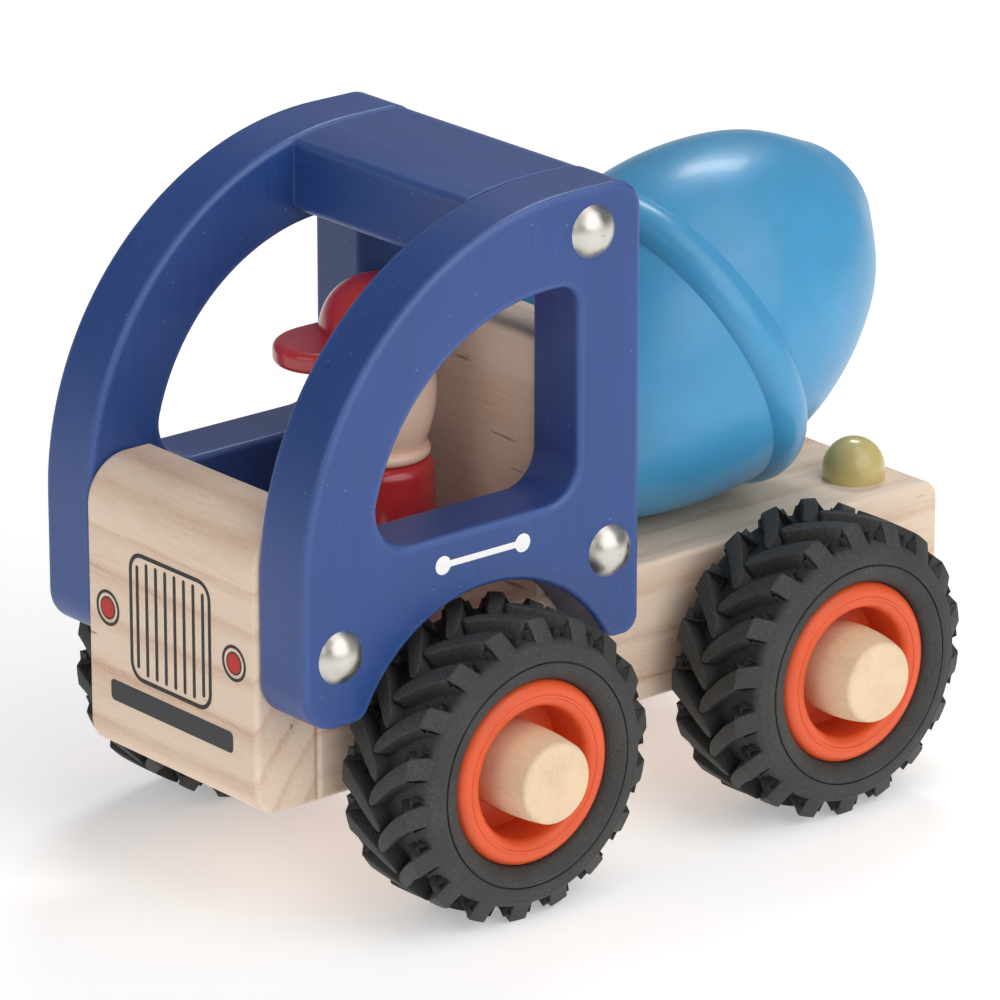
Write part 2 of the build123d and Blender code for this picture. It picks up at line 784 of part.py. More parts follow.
# the other three wheels are moved back or mirrored across the truck
for end, shift in (("front", 0), ("rear", wheelbase)):
    for piece, source in (("rim", rim), ("tyre", tyre), ("hub_cap", hub_caps[end])):
        with BuildPart() as left:
            with Locations((0, shift, 0)):
                add(source.part)
        finish(f"{piece}_{end}_left", left)
        with BuildPart() as right:
            mirror(left.part, about=Plane.YZ)
        finish(f"{piece}_{end}_right", right)

os.makedirs("parts", exist_ok=True)
for name, piece in parts.items():
    export_step(piece, f"parts/{name}.step")
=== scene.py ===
"""Looks of the wooden toy cement mixer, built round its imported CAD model."""
import math

import bmesh
import bpy
import numpy as np
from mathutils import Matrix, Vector


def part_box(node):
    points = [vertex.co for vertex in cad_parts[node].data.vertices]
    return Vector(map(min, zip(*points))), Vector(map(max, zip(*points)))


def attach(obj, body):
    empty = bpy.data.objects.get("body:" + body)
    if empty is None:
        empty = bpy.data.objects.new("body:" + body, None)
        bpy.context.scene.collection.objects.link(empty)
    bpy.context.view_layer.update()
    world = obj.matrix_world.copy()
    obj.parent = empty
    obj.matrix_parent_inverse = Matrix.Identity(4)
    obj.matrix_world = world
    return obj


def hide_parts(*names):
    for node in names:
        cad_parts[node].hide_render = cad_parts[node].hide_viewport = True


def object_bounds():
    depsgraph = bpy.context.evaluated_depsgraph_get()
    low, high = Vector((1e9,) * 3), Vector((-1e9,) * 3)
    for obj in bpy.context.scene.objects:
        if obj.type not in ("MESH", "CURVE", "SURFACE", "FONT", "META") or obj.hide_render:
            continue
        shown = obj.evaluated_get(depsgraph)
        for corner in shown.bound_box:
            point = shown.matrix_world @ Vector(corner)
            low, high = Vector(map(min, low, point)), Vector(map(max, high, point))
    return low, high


bl_info = {
    "name": "Wooden Cement Mixer",
    "version": (1, 0, 0),
    "blender": (4, 5, 0),
    "location": "3D View > Sidebar > Mixer",
    "description": "Tyres, printed marks and finishes of a wooden toy cement mixer",
    "category": "Add Mesh",
}

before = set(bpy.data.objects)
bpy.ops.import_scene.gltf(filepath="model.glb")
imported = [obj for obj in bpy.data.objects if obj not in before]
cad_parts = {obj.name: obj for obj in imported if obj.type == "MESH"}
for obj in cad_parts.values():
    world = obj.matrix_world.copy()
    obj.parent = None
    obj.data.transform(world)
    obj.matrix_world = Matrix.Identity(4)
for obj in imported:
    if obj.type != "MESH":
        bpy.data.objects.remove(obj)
cad_low, cad_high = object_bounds()

MM = 0.001                      # shapes are worked out in millimetres, meshes are in metres
WHEELS = ("front_left", "front_right", "rear_left", "rear_right")
MIX_FACTOR, MIX_A, MIX_B, MIX_RESULT = 0, 6, 7, 2   # the Mix node's colour sockets


def corners(node):
    """A CAD node's lowest and highest corner, in millimetres."""
    low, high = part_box(node)
    return np.array(low) / MM, np.array(high) / MM


def middle(node):
    """The middle of a CAD node's box, in millimetres."""
    low, high = corners(node)
    return (low + high) / 2


# ---- settings that a user would change ----

class MixerSizes(bpy.types.PropertyGroup):
    """Sizes of the moulded and printed details, in millimetres"""

    lugs: bpy.props.IntProperty(
        name="Lugs", description="Tread bars on each half of a tyre", default=18, min=8, max=30)
    lug_width: bpy.props.FloatProperty(
        name="Lug width", description="Width of a tread bar at the shoulder, mm", default=3.9)
    lug_tip_width: bpy.props.FloatProperty(
        name="Lug tip width", description="Width of a tread bar at the middle, mm", default=3.3)
    lug_sweep: bpy.props.FloatProperty(
        name="Lug sweep", description="How far a bar runs round the tyre, mm", default=9.0)
    tread_depth: bpy.props.FloatProperty(
        name="Tread depth", description="Height of the bars over the carcass, mm", default=3.2)
    tyre_half_width: bpy.props.FloatProperty(
        name="Tyre half width", description="Middle plane to the widest sidewall, mm",
        default=10.9)
    lug_crown: bpy.props.FloatProperty(
        name="Lug crown", description="Middle plane to the end of a bar's flat top, mm",
        default=7.8)
    front_tyre_turn: bpy.props.FloatProperty(
        name="Front tyre turn", description="How far the front treads are rolled, degrees",
        default=3.2)
    rear_tyre_turn: bpy.props.FloatProperty(
        name="Rear tyre turn", description="How far the rear treads are rolled, degrees",
        default=7.2)
    rim_ring_radius: bpy.props.FloatProperty(
        name="Rim ring radius", description="Radius of the fine ring on each rim, mm",
        default=13.3)
    grille_width: bpy.props.FloatProperty(
        name="Grille width", description="Width of the printed grille, mm", default=21.8)
    grille_height: bpy.props.FloatProperty(
        name="Grille height", description="Height of the printed grille, mm", default=22.6)
    grille_slats: bpy.props.IntProperty(
        name="Slats", description="Upright lines in the printed grille", default=8, min=2, max=20)
    lamp_spread: bpy.props.FloatProperty(
        name="Lamp spread", description="Distance between the printed lamps, mm", default=33.8)
    stripe_length: bpy.props.FloatProperty(
        name="Stripe length", description="Length of the stripe under each window, mm",
        default=16.8)


class MixerColours(bpy.types.PropertyGroup):
    """Colours of the finishes"""

    cab_blue: bpy.props.StringProperty(
        name="Cab blue", description="Lacquer of the cab's boards", default="#264788")
    drum_blue: bpy.props.StringProperty(
        name="Drum blue", description="Lacquer of the drum", default="#479CCC")
    driver_red: bpy.props.StringProperty(
        name="Driver red", description="Lacquer of the driver's body and cap", default="#BE2E33")
    face_peach: bpy.props.StringProperty(
        name="Face peach", description="Lacquer of the driver's head", default="#F3CFB8")
    peg_olive: bpy.props.StringProperty(
        name="Peg olive", description="Lacquer of the tail pegs", default="#CDB975")
    rim_orange: bpy.props.StringProperty(
        name="Rim orange", description="Plastic of the rims", default="#E85B2C")
    pine_pale: bpy.props.StringProperty(
        name="Pine, early wood", description="The pale wood between the rings", default="#F0DAC3")
    pine_dark: bpy.props.StringProperty(
        name="Pine, late wood", description="The darker rings", default="#CFA487")
    beech_pale: bpy.props.StringProperty(
        name="Beech", description="Wood of the hub caps", default="#EFD2AE")
    rubber_grey: bpy.props.StringProperty(
        name="Rubber", description="Moulded rubber of the tyres", default="#363634")


class MixerStage(bpy.types.PropertyGroup):
    """Camera and lights"""

    azimuth: bpy.props.FloatProperty(
        name="Azimuth", description="Camera's turn round the truck from the nose, degrees",
        default=49.97)
    elevation: bpy.props.FloatProperty(
        name="Elevation", description="Camera's height above the horizon, degrees", default=19.49)
    distance: bpy.props.FloatProperty(
        name="Distance", description="Camera to the aim point", default=1.1662, unit="LENGTH")
    aim_height: bpy.props.FloatProperty(
        name="Aim height", description="Height of the aim point", default=0.05359, unit="LENGTH")
    aim_aside: bpy.props.FloatProperty(
        name="Aim aside", description="Aim point beside the truck's middle", default=-0.00074,
        unit="LENGTH")
    aim_behind_nose: bpy.props.FloatProperty(
        name="Aim behind nose", description="Aim point behind the nose", default=0.07092,
        unit="LENGTH")
    lens: bpy.props.FloatProperty(
        name="Lens", description="Focal length, mm", default=248.0)
    ambient: bpy.props.FloatProperty(
        name="Ambient", description="Brightness of the room's soft light", default=0.19)
    # the floor's own glow is painted light: it keeps the paper white and lightens the shadows on it
    floor_glow: bpy.props.FloatProperty(
        name="Floor glow", description="Light that the backlit paper gives by itself",
        default=0.35)
    top_light: bpy.props.FloatProperty(
        name="Top light", description="Power of the softbox over the back",
        default=4.0, unit="POWER")
    over_light: bpy.props.FloatProperty(
        name="Overhead light", description="Power of the softbox overhead",
        default=5.2, unit="POWER")
    side_light: bpy.props.FloatProperty(
        name="Side light", description="Power of the softbox on the truck's left",
        default=14.2, unit="POWER")
    front_light: bpy.props.FloatProperty(
        name="Front light", description="Power of the softbox before the nose",
        default=3.6, unit="POWER")


# ---- numpy surfaces ----

def rounded(points, radii, steps=6):
    """A closed outline with its corners rounded.

    Each corner becomes an arc of the given radius: its centre lies on the corner's bisector at
    radius / sin(half the corner's angle), and the arc runs between the two tangent points.
    """
    points = np.asarray(points, float)
    radii = np.broadcast_to(radii, len(points))
    line = []
    for corner, before, after, radius in zip(
            points, np.roll(points, 1, axis=0), np.roll(points, -1, axis=0), radii):
        if radius == 0:
            line.append(corner[None])
            continue
        back = (before - corner) / np.linalg.norm(before - corner)
        ahead = (after - corner) / np.linalg.norm(after - corner)
        half = np.arccos(np.clip(back @ ahead, -1, 1)) / 2
        bisector = (back + ahead) / np.linalg.norm(back + ahead)
        centre = corner + bisector * radius / np.sin(half)
        start = corner + back * radius / np.tan(half) - centre
        across = -bisector * radius
        # turning from the first tangent point through the corner's side to the second one
        turn = np.linspace(-1, 1, steps + 1)[:, None] * (math.pi / 2 - half)
        sideways = start - (start @ bisector) * bisector
        sideways = sideways / np.linalg.norm(sideways) * radius
        line.append(centre + across * np.cos(turn) - sideways * np.sin(turn))
    return np.concatenate(line)


def write_mesh(name, points, faces, crease=40):
    """A mesh object from points in millimetres. Doubles are merged and faces turned outwards."""
    mesh = bpy.data.meshes.new(name)
    mesh.from_pydata((points * MM).tolist(), [], faces)
    shape = bmesh.new()
    shape.from_mesh(mesh)
    bmesh.ops.remove_doubles(shape, verts=shape.verts, dist=1e-6)
    bmesh.ops.recalc_face_normals(shape, faces=shape.faces)
    shape.to_mesh(mesh)
    shape.free()
    mesh.shade_smooth()
    mesh.set_sharp_from_angle(angle=math.radians(crease))
    piece = bpy.data.objects.new(name, mesh)
    bpy.context.scene.collection.objects.link(piece)
    return piece


def grid_faces(rings, around, wrap_rings=False, caps=False, first=0):
    """Quads of a grid of rings that close on themselves, with a flat cap at each end if asked."""
    index = first + np.arange(rings * around).reshape(rings, around)
    ahead = np.roll(index, -1, axis=0)
    if not wrap_rings:
        ahead = ahead[:-1]
    behind = index[:len(ahead)]
    quads = np.stack(
        [behind, np.roll(behind, -1, axis=1), np.roll(ahead, -1, axis=1), ahead], axis=-1)
    faces = quads.reshape(-1, 4).tolist()
    if caps:
        faces += [index[0].tolist(), index[-1].tolist()]
    return faces


def turned(profile, centre, axis, across, steps):
    """A profile of (distance along the axis, radius) turned once round the axis.

    Point = centre + distance * axis + radius * (cos(turn) * across + sin(turn) * third).
    """
    profile = np.asarray(profile, float)
    axis = np.asarray(axis, float)
    across = np.asarray(across, float)
    third = np.cross(axis, across)
    turn = np.linspace(0, 2 * math.pi, steps, endpoint=False)[None, :, None]
    spoke = np.cos(turn) * across + np.sin(turn) * third
    return centre + profile[:, 0, None, None] * axis + profile[:, 1, None, None] * spoke


# ---- tyres ----

def carcass_profile(half_width, bead_radius, floor_radius):
    """Closed section of the carcass as (distance from the middle plane, radius).

    From the bead the wall swells as a quarter ellipse to its widest point, where a fine ring is
    cut. Above it the wall leans in by the square of the way up, and another quarter ellipse
    rounds it into the floor between the bars.
    """
    bead_in, swell, shoulder_in = 2.4, 3.1, 1.7
    ring_depth, wall_set_in, wall_lean = 0.5, 0.1, 0.5
    ring_radius = bead_radius + swell
    wall_top = floor_radius - 1.4
    turn = np.linspace(0, math.pi / 2, 10)
    bulge = np.stack([
        half_width - bead_in * (1 - np.sin(turn)),
        bead_radius + swell * (1 - np.cos(turn))], axis=1)
    ring = np.array([
        (half_width - 0.05, ring_radius + 0.1), (half_width - ring_depth, ring_radius + 0.18),
        (half_width - ring_depth, ring_radius + 0.34),
        (half_width - wall_set_in, ring_radius + 0.44)])
    rise = np.linspace(0, 1, 7)[1:]
    wall = np.stack([
        half_width - wall_set_in - wall_lean * rise ** 2,
        ring[-1, 1] + (wall_top - ring[-1, 1]) * rise], axis=1)
    shoulder = np.stack([
        wall[-1, 0] - shoulder_in * (1 - np.cos(turn)),
        wall_top + (floor_radius - wall_top) * np.sin(turn)], axis=1)[1:]
    foot = np.array([(half_width - bead_in, bead_radius - 2.5)])   # hidden under the rim's lip
    outer = np.concatenate([foot, bulge, ring, wall, shoulder])
    return np.concatenate([outer, (outer * (-1, 1))[::-1]])


def lug_bars(sizes, half_width, top_radius, side, turned_back):
    """Curved tread bars on one half of a tyre, as one array (bar, along, section, xyz).

    A bar's spine runs level from just past the middle plane to the crown's end, then straight
    down one slanting facet into the shoulder. Its sweep round the tyre grows with the sine of
    the way along, and its tip is a half circle in plan.
    """
    reach = 0.9                          # a bar starts this far over the middle plane
    tip_radius = sizes.lug_tip_width / 2
    foot = (half_width - 0.45, top_radius - 4.7)
    sunk = (foot[0] - 1.6, foot[1] - 0.7)
    turns = rounded(
        [(-reach, top_radius), (sizes.lug_crown, top_radius), foot, sunk],
        [0, 0.35, 0.3, 0], steps=3)
    length = np.concatenate([[0], np.cumsum(np.linalg.norm(np.diff(turns, axis=0), axis=1))])
    tip = tip_radius * (1 - np.cos(np.linspace(0, math.pi / 2, 6)))
    crown = np.linspace(tip_radius + 1.2, length[1] - 0.25, 5)
    facet = np.linspace(length[4] + 0.25, length[5] - 0.25, 4)
    run = np.sort(np.concatenate([tip, crown, facet, length[1:]]))
    line = np.stack([np.interp(run, length, turns[:, i]) for i in (0, 1)], axis=1)

    ahead = np.gradient(line, axis=0)
    ahead /= np.linalg.norm(ahead, axis=1, keepdims=True)
    inward = np.stack([ahead[:, 1], -ahead[:, 0]], axis=1)

    way = np.clip((line[:, 0] + reach) / (half_width + reach), 0, 1)
    curved = 0.75                        # share of the sweep that follows the sine
    sweep = sizes.lug_sweep * (np.sin(way * math.pi / 2) * curved + way * (1 - curved) - 0.5)
    width = sizes.lug_tip_width + (sizes.lug_width - sizes.lug_tip_width) * way
    closing = np.sqrt(np.clip(1 - (1 - np.minimum(run / tip_radius, 1)) ** 2, 0, 1))
    width = width * closing

    # half a section: foot of the wall, then a rounded top edge, then the crown of the bar
    edge = 0.3
    arc = np.linspace(0, math.pi / 2, 4)
    depth = np.concatenate([[sizes.tread_depth + 0.7, 1.6], edge * (1 - np.sin(arc)), [0]])
    inset = np.concatenate([[-0.55, -0.18], edge * (1 - np.cos(arc)), [0]])
    spread = np.concatenate([np.ones(len(arc) + 2), [0]])
    half_section = width[:, None] / 2 * spread - inset * closing[:, None]
    lateral = np.concatenate([half_section, -half_section[:, ::-1][:, 1:]], axis=1)
    deep = np.concatenate([depth, depth[::-1][1:]])

    base = line[:, None, :] + inward[:, None, :] * deep[None, :, None]
    # the spine sweeps by angle, but the bar keeps its width in mm down the facet
    bearing = sweep[:, None] / top_radius + lateral / line[:, 1:]
    step = 2 * math.pi / sizes.lugs
    start = np.arange(sizes.lugs) * step + (0 if side > 0 else step / 2) - turned_back
    angle = bearing[None] + start[:, None, None]
    radius = base[None, :, :, 1]
    return np.stack([
        np.broadcast_to(side * base[None, :, :, 0], angle.shape),
        radius * np.sin(angle), radius * np.cos(angle)], axis=-1)


class MIXER_OT_tyres(bpy.types.Operator):
    """Mould the four chevron tyres"""

    bl_idname = "mixer.tyres"
    bl_label = "Tyres"

    def execute(self, context):
        sizes = context.scene.mixer_sizes
        rubber = tread_rubber(context.scene.mixer_colours)
        for corner in WHEELS:
            low, high = corners("tyre_" + corner)
            rim_low, rim_high = corners("rim_" + corner)
            centre = (low + high) / 2
            outside = 1 if centre[0] > 0 else -1
            half_width = sizes.tyre_half_width
            # the outer sidewall's widest point is the truck's side, so it sets the middle plane
            centre[0] = max(high[0], -low[0]) * outside - half_width * outside
            top_radius = (high[2] - low[2]) / 2
            bead = (rim_high[2] - rim_low[2]) / 2
            section = carcass_profile(half_width, bead, top_radius - sizes.tread_depth)
            carcass = turned(section, centre, (outside, 0, 0), (0, 0, 1), 144)
            points = [carcass.reshape(-1, 3)]
            faces = grid_faces(*carcass.shape[:2], wrap_rings=True)
            first = len(points[0])
            turned_back = math.radians(
                sizes.front_tyre_turn if corner.startswith("front") else sizes.rear_tyre_turn)
            for side in (1, -1):
                bars = lug_bars(sizes, half_width, top_radius, side, turned_back)
                bars = bars * (outside, 1, 1) + centre
                for bar in bars:
                    faces += grid_faces(*bar.shape[:2], caps=True, first=first)
                    first += bar.shape[0] * bar.shape[1]
                points.append(bars.reshape(-1, 3))
            tyre = write_mesh("moulded_tyre_" + corner, np.concatenate(points), faces, crease=32)
            tyre.data.materials.append(rubber)
            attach(tyre, "wheel_" + corner)
            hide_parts("tyre_" + corner)
        return {"FINISHED"}


class MIXER_OT_rim_rings(bpy.types.Operator):
    """Raise the fine ring on the face of each rim, round its mouth"""

    bl_idname = "mixer.rim_rings"
    bl_label = "Rim rings"

    def execute(self, context):
        sizes = context.scene.mixer_sizes
        # the section is an ellipse, half sunk in the lip
        proud, half_wide = 0.22, 0.35
        turn = np.linspace(0, 2 * math.pi, 12, endpoint=False)
        section = np.stack(
            [proud * np.cos(turn), sizes.rim_ring_radius + half_wide * np.sin(turn)], axis=1)
        for corner in WHEELS:
            low, high = corners("rim_" + corner)
            centre = (low + high) / 2
            outside = 1 if centre[0] > 0 else -1
            centre[0] = max(high[0], -low[0]) * outside
            rings = turned(section, centre, (outside, 0, 0), (0, 0, 1), 96)
            ring = write_mesh(
                "rim_ring_" + corner, rings.reshape(-1, 3),
                grid_faces(*rings.shape[:2], wrap_rings=True))
            ring.data.materials.append(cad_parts["rim_" + corner].data.materials[0])
            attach(ring, "wheel_" + corner)
        return {"FINISHED"}


# ---- printed marks ----

def ribbon(path, width, lift=0.05, closed=True):
    """A flat printed line: a section of four points carried along a path in the printed plane.

    The section's corners stand half the width to each side of the path, along its normal, on
    the board and one ink thickness above it. Local z is the height over the board.
    """
    path = np.asarray(path, float)
    if closed:
        ahead = np.roll(path, -1, axis=0) - np.roll(path, 1, axis=0)
    else:
        ahead = np.gradient(path, axis=0)
    ahead /= np.linalg.norm(ahead, axis=1, keepdims=True)
    beside = np.stack([-ahead[:, 1], ahead[:, 0]], axis=1)
    offset = np.array([-0.5, 0.5, 0.5, -0.5]) * width
    flat = path[:, None, :] + beside[:, None, :] * offset[None, :, None]
    height = np.broadcast_to(np.array([lift / 2, lift / 2, lift, lift]), flat.shape[:2])
    grid = np.concatenate([flat, height[:, :, None]], axis=2)
    return grid.reshape(-1, 3), grid_faces(*grid.shape[:2], wrap_rings=closed, caps=not closed)


def patch(outline, lift=0.05):
    """A flat printed area: its outline drawn in to the middle in rings, one ink thickness high.

    Ring k is the outline scaled about its middle by k, and the rim drops to the board.
    """
    outline = np.asarray(outline, float)
    centre = outline.mean(axis=0)
    scale = np.array([0.0, 0.5, 0.98, 1.0, 1.0])[:, None, None]
    height = np.array([lift, lift, lift, lift * 0.9, lift / 2])[:, None]
    flat = centre + (outline - centre)[None] * scale
    grid = np.concatenate([flat, np.broadcast_to(height, flat.shape[:2])[:, :, None]], axis=2)
    return grid.reshape(-1, 3), grid_faces(*grid.shape[:2], caps=True)


def circle(centre, radius, steps=40):
    """Outline of a disc: centre + radius * (cos, sin) of an even turn."""
    turn = np.linspace(0, 2 * math.pi, steps, endpoint=False)
    return np.stack([centre[0] + radius * np.cos(turn), centre[1] + radius * np.sin(turn)], axis=1)


def rectangle(centre, width, height):
    """The four corners of a box about its centre, in turning order."""
    x, y = centre
    return [(x - width / 2, y - height / 2), (x + width / 2, y - height / 2),
            (x + width / 2, y + height / 2), (x - width / 2, y + height / 2)]


def capsule(start, end, radius, steps=8):
    """Outline of a round-ended bar: two half circles about its ends."""
    start, end = np.asarray(start, float), np.asarray(end, float)
    ahead = (end - start) / np.linalg.norm(end - start)
    lean = math.atan2(ahead[1], ahead[0])
    turn = np.linspace(-math.pi / 2, math.pi / 2, steps + 1) + lean
    cap = np.stack([np.cos(turn), np.sin(turn)], axis=1) * radius
    return np.concatenate([end + cap, start - cap])


def print_marks(name, marks, to_board, material):
    """One ink layer: marks joined into one mesh, taken from the printed plane to the board."""
    points, faces, first = [], [], 0
    for mark_points, mark_faces in marks:
        points.append(to_board(mark_points))
        faces += [[first + i for i in face] for face in mark_faces]
        first += len(mark_points)
    layer = write_mesh(name, np.concatenate(points), faces)
    layer.data.materials.append(material)
    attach(layer, "truck")


class MIXER_OT_nose_print(bpy.types.Operator):
    """Print the grille, lamps and bumper on the nose"""

    bl_idname = "mixer.nose_print"
    bl_label = "Nose print"

    def execute(self, context):
        sizes = context.scene.mixer_sizes
        low = corners("nose_block")[0]
        # heights of the marks' middles over the nose's foot, and the thickness of a fine line
        grille_z, lamp_z, bumper_z = low[2] + 26.3, low[2] + 25.6, low[2] + 11.55
        line = 0.75

        def to_nose(points):
            return np.stack([points[:, 0], low[1] - points[:, 2], points[:, 1]], axis=1)

        border = rounded(
            rectangle((0, grille_z), sizes.grille_width - line, sizes.grille_height - line), 2.9)
        marks = [ribbon(border, line)]
        pitch = (sizes.grille_width - 4.3) / (sizes.grille_slats - 1)
        for slat in range(sizes.grille_slats):
            x = (slat - (sizes.grille_slats - 1) / 2) * pitch
            reach = sizes.grille_height / 2 - 1.75
            if slat in (0, sizes.grille_slats - 1):
                reach -= 0.9             # the outer slats clear the border's round corners
            marks.append(patch(capsule((x, grille_z - reach), (x, grille_z + reach), line / 2)))
        lamps = []
        for x in (-sizes.lamp_spread / 2, sizes.lamp_spread / 2):
            marks.append(ribbon(circle((x, lamp_z), 2.85), 0.55))
            marks.append(ribbon(circle((x, lamp_z), 1.85), 0.3, lift=0.06))
            lamps.append(patch(circle((x, lamp_z), 1.8)))
        bumper = rounded(rectangle((0, bumper_z), 32.8, 3.7), 0.9)
        for name, ink, colour, layer in (
                ("black", "black", "#2A2724", marks), ("lamps", "red", "#C5271F", lamps),
                ("bumper", "grey", "#35373A", [patch(bumper)])):
            material = printing_ink(ink + "_printing_ink", colour)
            print_marks("nose_print_" + name, layer, to_nose, material)
        return {"FINISHED"}


class MIXER_OT_side_stripes(bpy.types.Operator):
    """Print the white stripe under each side window"""

    bl_idname = "mixer.side_stripes"
    bl_label = "Side stripes"

    def execute(self, context):
        sizes = context.scene.mixer_sizes
        white = printing_ink("white_printing_ink", "#FAFAF8")
        low, high = corners("cab_side_left")
        stripe_y, stripe_z = low[1] + 37.1, low[2] + 22.9
        half = sizes.stripe_length / 2
        for side, hand in ((1, "left"), (-1, "right")):
            def to_side(points, side=side):
                return np.stack(
                    [side * (high[0] + points[:, 2]), points[:, 0], points[:, 1]], axis=1)

            marks = [patch(capsule((stripe_y - half, stripe_z), (stripe_y + half, stripe_z), 0.55))]
            for y in (stripe_y - half, stripe_y + half):
                marks.append(patch(circle((y, stripe_z), 1.6), lift=0.07))
            print_marks("side_stripe_" + hand, marks, to_side, white)
        return {"FINISHED"}


# ---- finishes ----

def linear(colour):
    """An sRGB hex colour as linear RGBA."""
    parts = np.array([int(colour[i:i + 2], 16) for i in (1, 3, 5)]) / 255
    low = parts / 12.92
    high = ((parts + 0.055) / 1.055) ** 2.4
    return (*np.where(parts <= 0.04045, low, high).tolist(), 1.0)


def add_node(tree, kind, inputs=None, stops=None, **settings):
    """Add one node. Inputs maps a socket's name or number to a value or another node's output."""
    made = tree.nodes.new(kind)
    for key, value in settings.items():
        setattr(made, key, value)
    if stops:
        ramp = made.color_ramp.elements
        while len(ramp) < len(stops):
            ramp.new(0.5)
        for element, (place, colour) in zip(ramp, stops):
            element.position = place
            element.color = colour if len(colour) == 4 else (*colour, 1)
    for key, value in (inputs or {}).items():
        if isinstance(value, bpy.types.NodeSocket):
            tree.links.new(value, made.inputs[key])
        else:
            made.inputs[key].default_value = value
    return made


def new_finish(name, **sockets):
    """A material with one shader whose even values are set, and its tree and shader."""
    material = bpy.data.materials.new(name)
    material.use_nodes = True
    tree = material.node_tree
    shader = tree.nodes["Principled BSDF"]
    for key, value in sockets.items():
        shader.inputs[key.replace("_", " ")].default_value = value
    return material, tree, shader


def grey(value):
    """An even grey for a ramp that is read as a mask."""
    return (value, value, value, 1.0)


def stretched(tree, along, stretch, location=(0, 0, 0)):
    """Object coordinates squeezed along one axis, so that a pattern on them runs that way."""
    scale = [1.0, 1.0, 1.0]
    scale["xyz".index(along)] = 1 / stretch
    place = add_node(tree, "ShaderNodeTexCoord").outputs["Object"]
    return add_node(
        tree, "ShaderNodeMapping",
        {"Vector": place, "Scale": scale, "Location": location}).outputs["Vector"]


def pine_board(colours, name, along, pith):
    """Radiata pine, planed, sanded and left bare: pale, matt, with reddish growth rings.

    along is the axis of the grain and pith a point on the tree's middle, in mm. Fibres and
    pores are drawn about half a millimetre wide, coarser than real ones, so that they show.
    """
    material, tree, shader = new_finish(name, Roughness=0.62, IOR=1.45)
    ring_width = 5.5                         # mm between growth rings
    axis = along.upper()
    wood = stretched(tree, along, 6.0, [-c * MM for c in pith])
    rings = add_node(
        tree, "ShaderNodeTexWave",
        {"Vector": wood, "Scale": math.pi / 10 / (ring_width * MM), "Distortion": 2.6,
         "Detail": 3.0, "Detail Scale": 0.35, "Detail Roughness": 0.6},
        wave_type="RINGS", rings_direction=axis, wave_profile="SAW")
    soft_rings = add_node(
        tree, "ShaderNodeValToRGB", {"Fac": rings.outputs["Fac"]},
        stops=[(0.0, grey(0.05)), (0.55, grey(0.22)), (0.86, grey(0.85)), (1.0, grey(0.1))])
    broad = add_node(
        tree, "ShaderNodeTexNoise",
        {"Vector": stretched(tree, along, 5.0), "Scale": 1 / (10.5 * MM), "Detail": 2.0,
         "Roughness": 0.5})
    fibre = add_node(
        tree, "ShaderNodeTexNoise",
        {"Vector": stretched(tree, along, 14.0), "Scale": 1 / (0.55 * MM), "Detail": 3.0,
         "Roughness": 0.7})
    speck = add_node(
        tree, "ShaderNodeTexNoise",
        {"Vector": stretched(tree, along, 1.6), "Scale": 1 / (0.45 * MM), "Detail": 2.0,
         "Roughness": 0.6})
    ring_share = add_node(
        tree, "ShaderNodeMath", {0: soft_rings.outputs["Color"], 1: 0.3}, operation="MULTIPLY")
    broad_share = add_node(
        tree, "ShaderNodeMath", {0: broad.outputs["Fac"], 1: 0.55, 2: ring_share.outputs[0]},
        operation="MULTIPLY_ADD")
    fibre_share = add_node(
        tree, "ShaderNodeMath", {0: fibre.outputs["Fac"], 1: 0.42, 2: broad_share.outputs[0]},
        operation="MULTIPLY_ADD")
    tone = add_node(
        tree, "ShaderNodeMath", {0: speck.outputs["Fac"], 1: 0.22, 2: fibre_share.outputs[0]},
        operation="MULTIPLY_ADD")
    pale, dark = np.array(linear(colours.pine_pale)), np.array(linear(colours.pine_dark))
    wood_colour = add_node(
        tree, "ShaderNodeValToRGB", {"Fac": tone.outputs[0]},
        stops=[(0.38, (pale * 1.04).clip(0, 1).tolist()),
               (0.62, (pale * 0.94 + dark * 0.06).tolist()),
               (0.86, (pale * 0.5 + dark * 0.5).tolist()), (1.0, dark.tolist())])
    # resin flecks: short dark dashes along the grain, a few centimetres apart
    fleck_noise = add_node(
        tree, "ShaderNodeTexNoise",
        {"Vector": stretched(tree, along, 9.0, (0.013, 0.007, 0.019)), "Scale": 1 / (1.6 * MM),
         "Detail": 1.0, "Roughness": 0.5})
    flecks = add_node(
        tree, "ShaderNodeValToRGB", {"Fac": fleck_noise.outputs["Fac"]},
        stops=[(0.72, grey(0.0)), (0.77, grey(0.6))])
    bare = add_node(
        tree, "ShaderNodeMix",
        {MIX_FACTOR: flecks.outputs["Color"], MIX_A: wood_colour.outputs["Color"],
         MIX_B: linear("#6E4A35")}, data_type="RGBA")
    tree.links.new(bare.outputs[MIX_RESULT], shader.inputs["Base Color"])
    bump = add_node(
        tree, "ShaderNodeBump",
        {"Strength": 0.55, "Distance": 0.06 * MM, "Height": fibre.outputs["Fac"]})
    tree.links.new(bump.outputs["Normal"], shader.inputs["Normal"])
    return material


